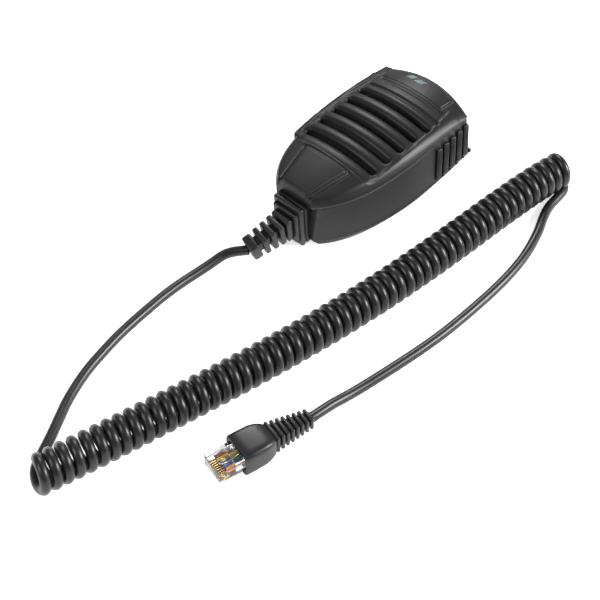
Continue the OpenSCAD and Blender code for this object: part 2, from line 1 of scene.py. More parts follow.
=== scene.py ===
"""Visual model of a hand microphone with a curly cord and a modular plug.

Sizes are in millimetres in the dataclasses and become metres when a mesh is
placed. The case frame is the microphone's own: +Z out of the face, +Y towards
the top edge. ``Resting`` lays it down on its hang-up button.
"""
import logging
import math
from dataclasses import dataclass, field
from enum import Enum
from typing import Iterable, Sequence

import bmesh
import bpy
from mathutils import Matrix, Vector


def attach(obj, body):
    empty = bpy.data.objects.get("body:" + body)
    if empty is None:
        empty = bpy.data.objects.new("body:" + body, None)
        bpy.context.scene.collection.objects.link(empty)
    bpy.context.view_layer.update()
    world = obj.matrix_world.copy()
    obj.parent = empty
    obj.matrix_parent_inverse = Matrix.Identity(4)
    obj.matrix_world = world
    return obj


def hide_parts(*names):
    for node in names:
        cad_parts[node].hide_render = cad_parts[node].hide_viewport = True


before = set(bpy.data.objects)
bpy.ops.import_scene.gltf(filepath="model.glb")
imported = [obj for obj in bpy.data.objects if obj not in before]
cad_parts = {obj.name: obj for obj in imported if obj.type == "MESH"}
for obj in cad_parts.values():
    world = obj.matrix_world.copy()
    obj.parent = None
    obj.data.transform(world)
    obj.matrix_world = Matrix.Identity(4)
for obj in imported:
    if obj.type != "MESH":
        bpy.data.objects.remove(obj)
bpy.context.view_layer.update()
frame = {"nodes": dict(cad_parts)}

MM = 0.001
LOG = logging.getLogger("microphone")
Point = tuple[float, float, float]

CLOUD_SCALE = 90.0                  # mottling of the colour, cells per metre
SMUDGE_SCALE = 55.0                 # variation of the roughness, cells per metre
WORN_FROM, WORN_TO = 0.52, 0.62     # pointiness over which an edge looks worn
BUMP_DEPTH = 0.0002                 # metres
COAT_ROUGHNESS = 0.12


class Slot(Enum):
    """Names of material slots; the pieces below do not use them."""

    SHELL = "shell_plastic"
    BADGE = "badge_plastic"
    BUTTON = "button_plastic"
    RUBBER = "relief_rubber"
    CORD = "cord_jacket"
    CLEAR = "clear_plastic"
    GOLD = "gold"
    WIRE = "wire_colours"


# --- finishes -----------------------------------------------------------------


@dataclass(frozen=True)
class Finish:
    """A moulded or drawn surface with grain, mottling and wear."""

    name: str
    colour: Point
    roughness: float = 0.5
    rough_spread: float = 0.08
    grain: float = 2200.0
    bump: float = 0.15
    mottle: float = 0.25
    metallic: float = 0.0
    specular: float = 0.5
    coat: float = 0.0
    transmission: float = 0.0
    ior: float = 1.5
    wear: float = 0.0
    stretch: Point = (1.0, 1.0, 1.0)

    def build(self) -> bpy.types.Material:
        """Makes the node material.

        Returns:
            The new material.
        """
        mat = bpy.data.materials.new(self.name)
        mat.use_nodes = True
        tree = mat.node_tree
        shader = tree.nodes["Principled BSDF"]
        place = tree.nodes.new("ShaderNodeTexCoord")
        turn = tree.nodes.new("ShaderNodeMapping")
        turn.inputs["Scale"].default_value = self.stretch
        tree.links.new(place.outputs["Object"], turn.inputs["Vector"])
        self._colour(tree, turn, shader)
        self._surface(tree, turn, shader)
        shader.inputs["Metallic"].default_value = self.metallic
        shader.inputs["Specular IOR Level"].default_value = self.specular
        shader.inputs["Coat Weight"].default_value = self.coat
        shader.inputs["Coat Roughness"].default_value = COAT_ROUGHNESS
        shader.inputs["Transmission Weight"].default_value = self.transmission
        shader.inputs["IOR"].default_value = self.ior
        return mat

    def _colour(self, tree: bpy.types.NodeTree, turn: bpy.types.Node,
                shader: bpy.types.Node) -> None:
        """Mottles the colour and lightens worn edges.

        Args:
            tree: Node tree of the material.
            turn: Node that gives the piece's own coordinates.
            shader: Surface shader.
        """
        cloud = self._noise(tree, turn, CLOUD_SCALE, 4.0)
        ramp = tree.nodes.new("ShaderNodeValToRGB")
        low, high = 1 - self.mottle, 1 + self.mottle
        ramp.color_ramp.elements[0].position = 0.3
        ramp.color_ramp.elements[1].position = 0.7
        ramp.color_ramp.elements[0].color = [c * low for c in self.colour] + [1]
        ramp.color_ramp.elements[1].color = [
            min(1, c * high) for c in self.colour] + [1]
        tree.links.new(cloud.outputs["Fac"], ramp.inputs["Fac"])
        tree.links.new(ramp.outputs["Color"], shader.inputs["Base Color"])
        if not self.wear:
            return
        edge = tree.nodes.new("ShaderNodeNewGeometry")
        sharp = tree.nodes.new("ShaderNodeMapRange")
        sharp.inputs["From Min"].default_value = WORN_FROM
        sharp.inputs["From Max"].default_value = WORN_TO
        sharp.inputs["To Max"].default_value = self.wear
        blend = tree.nodes.new("ShaderNodeMix")
        blend.data_type = "RGBA"
        blend.inputs["B"].default_value = [
            min(1, c * 2.6 + 0.02) for c in self.colour] + [1]
        tree.links.new(edge.outputs["Pointiness"], sharp.inputs["Value"])
        tree.links.new(sharp.outputs["Result"], blend.inputs["Factor"])
        tree.links.new(ramp.outputs["Color"], blend.inputs["A"])
        tree.links.new(blend.outputs["Result"], shader.inputs["Base Color"])

    def _surface(self, tree: bpy.types.NodeTree, turn: bpy.types.Node,
                 shader: bpy.types.Node) -> None:
        """Varies the roughness and adds the moulded grain as bump.

        Args:
            tree: Node tree of the material.
            turn: Node that gives the piece's own coordinates.
            shader: Surface shader.
        """
        smudge = self._noise(tree, turn, SMUDGE_SCALE, 3.0)
        spread = tree.nodes.new("ShaderNodeMapRange")
        spread.inputs["To Min"].default_value = self.roughness - self.rough_spread
        spread.inputs["To Max"].default_value = self.roughness + self.rough_spread
        tree.links.new(smudge.outputs["Fac"], spread.inputs["Value"])
        tree.links.new(spread.outputs["Result"], shader.inputs["Roughness"])
        grain = self._noise(tree, turn, self.grain, 2.0)
        bump = tree.nodes.new("ShaderNodeBump")
        bump.inputs["Strength"].default_value = self.bump
        bump.inputs["Distance"].default_value = BUMP_DEPTH
        tree.links.new(grain.outputs["Fac"], bump.inputs["Height"])
        tree.links.new(bump.outputs["Normal"], shader.inputs["Normal"])

    @staticmethod
    def _noise(tree: bpy.types.NodeTree, turn: bpy.types.Node, scale: float,
               detail: float) -> bpy.types.Node:
        """Adds a noise texture on the piece's own coordinates.

        Args:
            tree: Node tree of the material.
            turn: Node that gives the coordinates.
            scale: Cells per metre.
            detail: Layers of finer noise.
        Returns:
            The texture node.
        """
        noise = tree.nodes.new("ShaderNodeTexNoise")
        noise.inputs["Scale"].default_value = scale
        noise.inputs["Detail"].default_value = detail
        tree.links.new(turn.outputs["Vector"], noise.inputs["Vector"])
        return noise


SHELL = Finish("CasePlastic", (0.0085, 0.0085, 0.0082), 0.4, 0.05, 3000, 0.22,
               0.18, specular=0.26, wear=0.5)
BADGE = Finish("BadgePlastic", (0.009, 0.0092, 0.0094), 0.32, 0.04, 2600, 0.05,
               0.15, specular=0.28)
MARK = Finish("BadgeInk", (0.085, 0.12, 0.125), 0.4, 0.05, 2600, 0.05, 0.12)
BUTTON = Finish("ButtonRubber", (0.008, 0.008, 0.0082), 0.5, 0.06, 2000, 0.2,
                0.2, specular=0.28, wear=0.3)
RUBBER = Finish("ReliefRubber", (0.0075, 0.0075, 0.0077), 0.36, 0.07, 1700, 0.16,
                0.25, specular=0.32, wear=0.4)
CORD = Finish("CordJacket", (0.0085, 0.0086, 0.0088), 0.34, 0.05, 900, 0.06, 0.2,
              specular=0.36)
CLEAR = Finish("ClearPlastic", (0.95, 0.97, 0.98), 0.06, 0.03, 700, 0.03, 0.01,
               transmission=1.0, ior=1.5)
GOLD = Finish("GoldFlash", (0.83, 0.58, 0.24), 0.25, 0.06, 1500, 0.05, 0.1,
              metallic=1.0)
STEEL = Finish("NickelSteel", (0.62, 0.61, 0.6), 0.3, 0.08, 1800, 0.06, 0.08,
               metallic=1.0, stretch=(1.0, 6.0, 1.0))
FELT = Finish("FeltBlack", (0.006, 0.006, 0.006), 0.95, 0.03, 4200, 0.5, 0.4)
PAPER = Finish("ConePaper", (0.05, 0.042, 0.034), 0.9, 0.05, 2600, 0.3, 0.3)
FOAM = Finish("GasketFoam", (0.02, 0.02, 0.02), 0.95, 0.03, 1400, 0.6, 0.35)
BOARD = Finish("SolderMask", (0.015, 0.13, 0.06), 0.35, 0.08, 900, 0.05, 0.25)
CHIP = Finish("ChipResin", (0.02, 0.02, 0.022), 0.6, 0.08, 2600, 0.2, 0.2)
IVORY = Finish("WhiteNylon", (0.72, 0.7, 0.64), 0.5, 0.06, 1600, 0.08, 0.06)
FOIL = Finish("LabelFoil", (0.55, 0.55, 0.56), 0.38, 0.06, 2000, 0.05, 0.08,
              metallic=0.9)


def wire_finish(name: str, colour: Point) -> Finish:
    """A wire's coloured insulation.

    Args:
        name: Ending of the material's name.
        colour: Colour of the insulation.
    Returns:
        The finish.
    """
    return Finish("Wire" + name, colour, 0.4, 0.05, 1500, 0.05, 0.12)


# --- making and placing meshes --------------------------------------------------


@dataclass(frozen=True)
class Resting:
    """Where the case frame lies in the part's frame."""

    hang_drop: float = 5.0
    hang_y: float = 20.0
    hang_r: float = 6.5
    shift_x: float = 1.16
    foot: float = 3.0
    collar_y: float = 53.0

    @property
    def tilt(self) -> float:
        """Lean on the button's rim and the collar's foot, in radians."""
        return math.atan(self.hang_drop / (self.hang_y - self.hang_r + self.collar_y))

    def matrix(self) -> Matrix:
        """Turns case millimetres into millimetres of the part's frame."""
        place = Vector((self.shift_x, self.foot * math.sin(self.tilt),
                        self.collar_y * math.sin(self.tilt)))
        return Matrix.Translation(place) @ Matrix.Rotation(self.tilt, 4, "X")


LAY = Resting().matrix()
METRES = Matrix.Scale(MM, 4)


def link(name: str, data: bpy.types.ID) -> bpy.types.Object:
    """Makes an object and links it to the scene.

    Args:
        name: Name of the object.
        data: Its mesh, curve, camera or light.
    Returns:
        The object.
    """
    obj = bpy.data.objects.new(name, data)
    bpy.context.scene.collection.objects.link(obj)
    return obj


def finished(name: str, bm: bmesh.types.BMesh, place: Matrix,
             finishes: Sequence[Finish], angle: float = 40.0) -> bpy.types.Object:
    """Ends a bmesh as an object with its place in its mesh.

    Args:
        name: Name of the piece.
        bm: The mesh, in millimetres; it is freed.
        place: Matrix from the mesh's frame to the part's, in millimetres.
        finishes: One finish for each material index.
        angle: Edges sharper than this many degrees stay sharp.
    Returns:
        The object.
    """
    bmesh.ops.transform(bm, matrix=METRES @ place, verts=bm.verts)
    limit = math.radians(angle)
    for face in bm.faces:
        face.smooth = True
    for edge in bm.edges:
        if len(edge.link_faces) == 2 and edge.calc_face_angle(0.0) > limit:
            edge.smooth = False
    mesh = bpy.data.meshes.new(name)
    bm.to_mesh(mesh)
    bm.free()
    for finish in finishes:
        mesh.materials.append(material(finish))
    return link(name, mesh)


_made: dict[str, bpy.types.Material] = {}


def material(finish: Finish) -> bpy.types.Material:
    """Gives the material of a finish, made once.

    Args:
        finish: The finish.
    Returns:
        Its material.
    """
    if finish.name not in _made:
        _made[finish.name] = finish.build()
    return _made[finish.name]


def add_block(bm: bmesh.types.BMesh, size: Point, place: Matrix,
              radius: float = 0.0, segments: int = 3) -> list[bmesh.types.BMVert]:
    """Adds a box with rounded edges.

    Args:
        bm: Mesh to add to.
        size: Width, length and height.
        place: Matrix of the box's middle.
        radius: Radius of its edges.
        segments: Faces across each rounded edge.
    Returns:
        The finished box's vertices.
    """
    old = set(bm.faces)
    made = bmesh.ops.create_cube(bm, size=1.0)["verts"]
    bmesh.ops.scale(bm, vec=size, verts=made)
    edges = list({e for v in made for e in v.link_edges})
    if radius > 0:
        bmesh.ops.bevel(bm, geom=edges, offset=radius, segments=segments,
                        profile=0.5, affect="EDGES", material=-1,
                        clamp_overlap=True)
        made = list({v for f in bm.faces if f not in old for v in f.verts})
    bmesh.ops.transform(bm, matrix=place, verts=made)
    return made


def add_rod(bm: bmesh.types.BMesh, radius: float, length: float, place: Matrix,
            sides: int = 24, rim: float = 0.0, index: int = 0) -> None:
    """Adds a round rod along its own +Z from its foot.

    Args:
        bm: Mesh to add to.
        radius: Radius of the rod.
        length: Length of the rod.
        place: Matrix of its foot.
        sides: Faces round it.
        rim: Radius of its rounded ends.
        index: Material index.
    """
    old = set(bm.faces)
    made = bmesh.ops.create_cone(bm, cap_ends=True, segments=sides, radius1=radius,
                                 radius2=radius, depth=length)["verts"]
    bmesh.ops.translate(bm, vec=(0, 0, length / 2), verts=made)
    if rim > 0:
        rims = list({e for v in made for e in v.link_edges
                     if abs(e.verts[0].co.z - e.verts[1].co.z) < 1e-6})
        bmesh.ops.bevel(bm, geom=rims, offset=rim, segments=3, profile=0.5,
                        affect="EDGES", material=-1)
    fresh = [f for f in bm.faces if f not in old]
    verts = list({v for f in fresh for v in f.verts})
    bmesh.ops.transform(bm, matrix=place, verts=verts)
    for face in fresh:
        face.material_index = index


def loft(bm: bmesh.types.BMesh, rings: Sequence[Sequence[Point]]) -> None:
    """Extrudes a loop of edges through rings of equal count, closed at both ends.

    Args:
        bm: Mesh to add to.
        rings: The rings' points, in order.
    """
    verts = [bm.verts.new(p) for p in rings[0]]
    count = len(verts)
    edges = [bm.edges.new((verts[i], verts[(i + 1) % count])) for i in range(count)]
    bm.faces.new(verts)
    for ring in rings[1:]:
        out = bmesh.ops.extrude_edge_only(bm, edges=edges)["geom"]
        fresh = [g for g in out if isinstance(g, bmesh.types.BMVert)]
        by_old = {}
        for vert in fresh:
            for edge in vert.link_edges:
                other = edge.other_vert(vert)
                if other in verts:
                    by_old[verts.index(other)] = vert
        verts = [by_old[i] for i in range(count)]
        for vert, point in zip(verts, ring):
            vert.co = point
        edges = [bm.edges.get((verts[i], verts[(i + 1) % count]))
                 for i in range(count)]
    bm.faces.new(verts)
    bmesh.ops.recalc_face_normals(bm, faces=bm.faces)


def thicken(sheet: bpy.types.Object, wall: float) -> None:
    """Gives a sheet a wall under its face.

    Args:
        sheet: The sheet.
        wall: Thickness of the wall, in millimetres.
    """
    solid = sheet.modifiers.new("wall", "SOLIDIFY")
    solid.thickness = wall * MM
    solid.offset = -1.0
    solid.use_even_offset = False


def cut_away(piece: bpy.types.Object, cutter: bpy.types.Object) -> None:
    """Takes the cutter's space out of a piece and deletes the cutter.

    Args:
        piece: The piece; the cut ends up in its mesh.
        cutter: The object whose space is taken.
    """
    cut = piece.modifiers.new("cut", "BOOLEAN")
    cut.operation = "DIFFERENCE"
    cut.object = cutter
    cut.solver = "EXACT"
    graph = bpy.context.evaluated_depsgraph_get()
    mesh = bpy.data.meshes.new_from_object(piece.evaluated_get(graph))
    piece.modifiers.clear()
    piece.data = mesh
    bpy.data.objects.remove(cutter)


def step(low: float, high: float, value: float) -> float:
    """Smooth step of value from 0 at low to 1 at high."""
    t = min(1.0, max(0.0, (value - low) / (high - low)))
    return t * t * (3 - 2 * t)


def keep(piece: bpy.types.Object, body: str = "root",
         nodes: Iterable[str] = ()) -> bpy.types.Object:
    """Gives a piece its body, and hides the nodes it stands for.

    Args:
        piece: The finished piece.
        body: The body that it moves with.
        nodes: CAD nodes that it replaces.
    Returns:
        The piece.
    """
    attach(piece, body)
    names = list(nodes)
    if names:
        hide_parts(*names)
    LOG.info("%s: %d faces", piece.name, len(getattr(piece.data, "polygons", ())))
    return piece


# --- the case -------------------------------------------------------------------


@dataclass(frozen=True)
class Outline:
    """Outline of the case from the front, symmetric about its length."""

    half_w: float = 29.7
    half_l: float = 48.0
    widest_y: float = 5.0
    nose_b: float = 58.0
    nose_y: float = -49.2
    nose_share: float = 0.4
    taper: float = 1.2
    taper_l: float = 31.0
    corner_r: float = 3.6
    corner_share: float = 0.6
    top_r: float = 58.0
    top_share: float = 0.35

    @property
    def base(self) -> float:
        """Station of the top arc's middle."""
        return self.half_l - self.top_r

    def side(self, y: float, inset: float) -> float:
        """Half width at station y.

        Args:
            y: The station.
            inset: Inset of the sides, which lessens towards the cord end.
        Returns:
            The half width.
        """
        if y < self.widest_y:
            t = (y - self.widest_y) / self.nose_b
            lean = inset * (self.nose_share + (1 - self.nose_share)
                            * step(self.nose_y, -5.0, y))
            return (self.half_w - lean) * math.sqrt(max(0.0, 1 - t * t))
        t = min(1.0, (y - self.widest_y) / self.taper_l)
        return self.half_w - inset - self.taper * t * t

    def top_reach(self, inset: float) -> float:
        """Radius of the top arc, less its share of the inset."""
        return self.top_r - self.top_share * inset

    def corner(self, inset: float) -> tuple[float, float, float, float]:
        """Arc of the right top corner.

        Args:
            inset: Inset of the sides and the top.
        Returns:
            Its middle's x and y, its radius, and the turn at its top end.
        """
        radius = max(1.0, self.corner_r - inset * self.corner_share)
        x = self.half_w - inset - self.taper - radius
        reach = self.top_reach(inset) - radius
        y = self.base + math.sqrt(reach * reach - x * x)
        return x, y, radius, math.atan2(y - self.base, x)

    def top(self, x: float, inset: float) -> float:
        """Station of the top edge over x.

        Args:
            x: Distance from the middle, on either side.
            inset: Inset of the sides and the top.
        Returns:
            The station.
        """
        cx, cy, radius, turn = self.corner(inset)
        x = abs(x)
        if x > cx + radius * math.cos(turn):
            return cy + math.sqrt(max(0.0, radius * radius - (x - cx) ** 2))
        return self.base + math.sqrt(self.top_reach(inset) ** 2 - x * x)

    def ring(self, inset: float, end_inset: float, z: float,
             count: int = 44) -> list[Point]:
        """A closed loop at one height.

        Args:
            inset: Inset of the sides and the top.
            end_inset: Inset of the cord end.
            z: Height of the loop.
            count: Points on each side.
        Returns:
            The loop's points, counter-clockwise from the cord end.
        """
        y0 = self.nose_y + end_inset
        cx, cy, radius, turn = self.corner(inset)
        right: list[Point] = []
        for i in range(count + 1):
            y = y0 + (cy - y0) * i / count
            right.append((self.side(y, inset), y, z))
        for i in range(1, 9):
            a = turn * i / 8
            right.append((cx + radius * math.cos(a), cy + radius * math.sin(a), z))
        reach = self.top_reach(inset)
        for i in range(1, 15):
            a = turn + (math.pi / 2 - turn) * i / 14
            right.append((reach * math.cos(a), self.base + reach * math.sin(a), z))
        left = [(-p[0], p[1], p[2]) for p in right[-2::-1]]
        foot = [(right[0][0] * (1 - 2 * i / 12), y0, z) for i in range(11, 0, -1)]
        return right + left + foot


@dataclass(frozen=True)
class BadgeSeat:
    """Outline of the badge: a foot, two sides and an arc over them."""

    left: float = -20.3
    right: float = 15.4
    foot: float = 33.5
    arc_x: float = -2.0
    arc_y: float = -1.2
    arc_r: float = 45.5
    gap: float = 0.5

    def top(self, x: float) -> float:
        """Station of the arc over x."""
        return self.arc_y + math.sqrt(self.arc_r ** 2 - (x - self.arc_x) ** 2)

    def inside(self, x: float, y: float) -> float:
        """Distance to the line round the badge, positive inside it.

        Args:
            x: Place across the case.
            y: Station along the case.
        Returns:
            The distance.
        """
        arc = math.hypot(x - self.arc_x, y - self.arc_y)
        return min(self.arc_r + self.gap - arc, self.right + self.gap - x,
                   x - self.left + self.gap, y - self.foot + self.gap)


@dataclass
class FrontShell:
    """Crowned face with its slots, rail, border and lower panel."""

    outline: Outline = field(default_factory=Outline)
    seat: BadgeSeat = field(default_factory=BadgeSeat)
    seam_z: float = 23.3
    crown_z: float = 32.5
    crown_rx: float = 73.0
    crown_ry: float = 250.0
    crown_y: float = -4.0
    inset: float = 2.7
    end_inset: float = 0.6
    shoulder: float = 4.2
    top_shoulder: float = 2.4
    end_shoulder: float = 1.7
    nose_shoulder: float = 2.0
    slot_n: int = 5
    slot_half: float = 1.4
    slot_reach: float = 21.0
    slot_depth: float = 3.4
    slot_pitch: float = 9.0
    slots_y: float = 0.2
    lip_w: float = 2.9
    lip_depth: float = 1.25
    groove_pitch: float = 6.4
    groove_half: float = 1.05
    grooves: tuple[tuple[float, float], ...] = ((20.4, 0.85), (18.6, 0.6))
    border_x: float = 23.2
    border_y: float = -24.8
    border_r: float = 4.2
    border_rise: float = 0.32
    border_line: float = 0.22
    panel_top: float = -27.0
    panel_foot: float = -48.4
    panel_half: float = 11.9
    panel_taper: float = 4.6
    panel_rise: float = 0.75
    vee_depth: float = 0.9
    bar_y: float = -23.2
    bar_rise: float = 0.3
    rail_half: float = 1.9
    rail_foot: float = -23.4
    rail_top: float = 42.4
    wall: float = 1.15
    columns: int = 108
    rows: int = 222
    edge_steps: int = 10

    def face(self, x: float, y: float) -> float:
        """Height of the plain crowned face."""
        return (self.crown_z - x * x / (2 * self.crown_rx)
                - (y - self.crown_y) ** 2 / (2 * self.crown_ry))

    def rail_x(self, y: float) -> float:
        """Middle of the left rail at station y."""
        straight = 24.3 - 0.0011 * (y - 12) ** 2
        return -min(straight, self.outline.side(y, self.inset) - 1.35)

    def slot_y(self, i: int) -> float:
        """Station of slot i, counted from the cord end."""
        return self.slots_y + (i - self.slot_n // 2) * self.slot_pitch

    def relief(self, x: float, y: float) -> float:
        """Height of the slots, grooves, border and panel over the face.

        Args:
            x: Place across the case.
            y: Station along the case.
        Returns:
            The height, negative in a slot or a groove.
        """
        h = 0.0
        for i in range(self.slot_n):
            over = max(0.0, abs(x) - (self.slot_reach - self.slot_half))
            r = math.hypot(over, y - self.slot_y(i))
            lip = max(0.0, 1 - max(0.0, r - self.slot_half) / self.lip_w)
            ends = 1 - step(19.5, 23.5, abs(x))
            h -= self.lip_depth * lip ** 2.2 * ends
            h -= self.slot_depth * (1 - step(self.slot_half - 0.35,
                                             self.slot_half + 0.12, r))
        for k, (reach, depth) in enumerate(self.grooves, 1):
            yi = self.slot_y(self.slot_n - 1) + self.groove_pitch * k
            q = (y - yi) / self.groove_half
            h -= depth * math.exp(-q * q) * (1 - step(reach, reach + 1.6, abs(x)))
        return h + self._border(x, y) + self._panel(x, y) - self._badge_line(x, y)

    def _border(self, x: float, y: float) -> float:
        """Rise of the border round the grille field.

        Args:
            x: Place across the case.
            y: Station along the case.
        Returns:
            The height over the grille field.
        """
        edge = self.border_x - 0.0018 * (y + 14) ** 2
        corner_x, corner_y = edge - self.border_r, self.border_y + self.border_r
        if y < corner_y and x > corner_x:
            out = math.hypot(x - corner_x, y - corner_y) - self.border_r
        else:
            out = max(x - edge, self.border_y - y)
        near = 1 - step(0.0, 0.45, abs(out))
        top = 1 - step(34.0, 37.0, y)
        side = step(-8.0, 4.0, x)
        rise = self.border_rise * step(-0.25, 0.3, out) * (1 if y > -25 else 0.9)
        rise *= max(side, step(-24.0, -25.2, y))
        return (rise - self.border_line * near * side) * top

    def _panel(self, x: float, y: float) -> float:
        """Raised lower panel between two grooves, under a crossbar.

        Args:
            x: Place across the case.
            y: Station along the case.
        Returns:
            The height, negative in a groove.
        """
        top = self.panel_top
        t = min(1.2, max(0.0, (top - y) / (top - self.panel_foot)))
        half = self.panel_half - self.panel_taper * t
        inside = min(half - abs(x), top - y)
        groove = abs(abs(x) - (half + 1.5)) / 0.8
        under = step(top + 1.5, top - 0.2, y)
        cross = (y - (top + 1.0)) / 0.7
        h = self.panel_rise * step(-0.1, 0.6, inside) * under
        vee = self.vee_depth * max(0.0, 1 - groove) ** 0.8
        h -= vee * step(top + 2.0, top + 0.2, y)
        h -= 0.5 * math.exp(-cross * cross) * (1 - step(half, half + 1.6, abs(x)))
        bar = (y - self.bar_y) / 2.2
        h += self.bar_rise * math.exp(-bar * bar) * (1 - step(17.0, 21.0, abs(x)))
        return h

    def _badge_line(self, x: float, y: float) -> float:
        """Depth of the thin groove round the badge."""
        return 0.35 * max(0.0, 1 - abs(self.seat.inside(x, y)) / 0.45)

    def _rim(self, x: float, y: float) -> float:
        """Share of the face's height near the outline.

        Args:
            x: Place across the case.
            y: Station along the case.
        Returns:
            The share, from 0 on the outline to 1.
        """
        out = self.outline
        cx, cy, radius, turn = out.corner(self.inset)
        turned = math.atan2(y - cy, abs(x) - cx)
        gaps = [(y - out.nose_y - self.end_inset, self.end_shoulder)]
        if y <= cy:
            slope = out.side(y + 0.5, self.inset) - out.side(y - 0.5, self.inset)
            side = (out.side(y, self.inset) - abs(x)) / math.hypot(1, slope)
            nose = step(-10.0, -46.0, y)
            gaps.append((side, self.shoulder
                         + (self.nose_shoulder - self.shoulder) * nose))
        elif abs(x) > cx and turned < turn:
            width = self.shoulder + (self.top_shoulder - self.shoulder) * (
                turned / turn)
            gaps.append((radius - math.hypot(abs(x) - cx, y - cy), width))
        if y > 0 and (abs(x) <= cx or turned >= turn):
            rim = out.top_reach(self.inset) - math.hypot(x, y - out.base)
            gaps.append((rim, self.top_shoulder))
        share = 1.0
        for gap, width in gaps:
            t = min(1.0, max(0.0, gap / width))
            share = min(share, math.sqrt(max(0.0, 1 - (1 - t) ** 2)))
        return share

    def height(self, x: float, y: float) -> float:
        """Height of the finished surface.

        Args:
            x: Place across the case.
            y: Station along the case.
        Returns:
            The height.
        """
        z = self.seam_z + (self.face(x, y) + self.relief(x, y) - self.seam_z) * (
            self._rim(x, y))
        rail = self.rail_x(y)
        across = abs(x - rail)
        if across < self.rail_half and self.rail_foot < y < self.rail_top:
            ends = step(self.rail_foot, self.rail_foot + 0.5, y) * (
                1 - step(self.rail_top - 1.4, self.rail_top, y))
            top = (self.face(rail, y) + 0.95 - 0.35 * step(0.7, 1.25, across)
                   - 1.0 * (1 - step(0.12, 0.45, across)))
            share = (1 - step(1.25, 1.6, across)) * ends
            share *= step(0.0, 1.2, self.outline.top(x, self.inset) - y)
            z += max(0.0, top - z) * share
            moat = step(1.2, 1.5, across) * (1 - step(1.6, self.rail_half, across))
            z -= 0.5 * ends * moat * self._rim(x, y) ** 4
        return z

    def stations(self, low: float, high: float, count: int, low_edge: float,
                 high_edge: float) -> list[float]:
        """Grid lines between two edges, close together at both.

        Args:
            low: First edge.
            high: Last edge.
            count: Even steps between the two shoulders.
            low_edge: Width of the first shoulder.
            high_edge: Width of the last shoulder.
        Returns:
            The lines' places.
        """
        n = self.edge_steps
        turn = math.pi / 2 / n
        out = [low + low_edge * (1 - math.cos(i * turn)) for i in range(n)]
        a, b = low + low_edge, high - high_edge
        out += [a + (b - a) * i / count for i in range(count)]
        out += [high - high_edge * (1 - math.cos((n - i) * turn))
                for i in range(n + 1)]
        return out

    def build(self) -> bpy.types.Object:
        """Moves a fine grid to the face and gives it a wall.

        Returns:
            The front shell.
        """
        reach = self.outline.half_w - self.inset
        us = [x / reach for x in self.stations(
            -reach, reach, self.columns, self.shoulder, self.shoulder)]
        y0 = self.outline.nose_y + self.end_inset
        y1 = self.outline.top(0.0, self.inset)
        ys = self.stations(y0, y1, self.rows, self.end_shoulder,
                           self.top_shoulder)
        bm = bmesh.new()
        bmesh.ops.create_grid(bm, x_segments=len(us) - 1, y_segments=len(ys) - 1,
                              size=1.0)
        for vert in bm.verts:
            i = round((vert.co.x + 1) / 2 * (len(us) - 1))
            j = round((vert.co.y + 1) / 2 * (len(ys) - 1))
            side = self.outline.side(ys[j], self.inset)
            bow = step(14.0, y1, ys[j])
            y = ys[j] + bow * (self.outline.top(us[i] * side, self.inset) - y1)
            x = us[i] * self.outline.side(y, self.inset)
            vert.co = (x, y, self.height(x, y))
        self._mark_felt(bm)
        piece = finished("front_case_skin", bm, LAY, (SHELL, FELT), 180.0)
        thicken(piece, self.wall)
        return keep(piece, nodes=("front_shell",))

    def _mark_felt(self, bm: bmesh.types.BMesh) -> None:
        """Gives the floors of the slots the felt that is behind them.

        Args:
            bm: Mesh of the face.
        """
        for face in bm.faces:
            mid = face.calc_center_median()
            over = max(0.0, abs(mid.x) - (self.slot_reach - self.slot_half))
            for i in range(self.slot_n):
                if math.hypot(over, mid.y - self.slot_y(i)) < self.slot_half - 0.3:
                    face.material_index = 1


@dataclass
class NameBadge:
    """Glossy plate at the top of the face with a made-up mark."""

    shell: FrontShell
    lift: float = 0.1
    wall: float = 0.4
    ink: float = 0.05
    columns: int = 60
    rows: int = 22

    def build(self) -> list[bpy.types.Object]:
        """Builds the plate and its mark.

        Returns:
            Both pieces.
        """
        seat = self.shell.seat
        middle, half = (seat.left + seat.right) / 2, (seat.right - seat.left) / 2
        bm = bmesh.new()
        bmesh.ops.create_grid(bm, x_segments=self.columns, y_segments=self.rows,
                              size=1.0)
        for vert in bm.verts:
            x = middle + half * vert.co.x
            t = (vert.co.y + 1) / 2
            y = seat.foot + t * (seat.top(x) - seat.foot)
            vert.co = (x, y, self.shell.height(x, y) + self.lift)
        plate = finished("badge_plate", bm, LAY, (BADGE,), 60.0)
        thicken(plate, self.wall)
        keep(plate, nodes=("name_badge",))
        return [plate, self._mark()]

    def _mark(self) -> bpy.types.Object:
        """Prints two slanted bars on the plate.

        Returns:
            The bars.
        """
        bm = bmesh.new()
        for x0, y0, width, length in ((-8.4, 40.6, 3.6, 3.0), (-3.0, 40.2, 4.6, 3.0)):
            old = set(bm.verts)
            bmesh.ops.create_grid(bm, x_segments=8, y_segments=6, size=0.5)
            for vert in [v for v in bm.verts if v not in old]:
                x = x0 + vert.co.x * width + vert.co.y * 1.8
                y = y0 + vert.co.y * length
                vert.co = (x, y, self.shell.height(x, y) + self.lift + 0.03)
        mark = finished("badge_mark", bm, LAY, (MARK,), 60.0)
        thicken(mark, self.ink)
        return keep(mark)


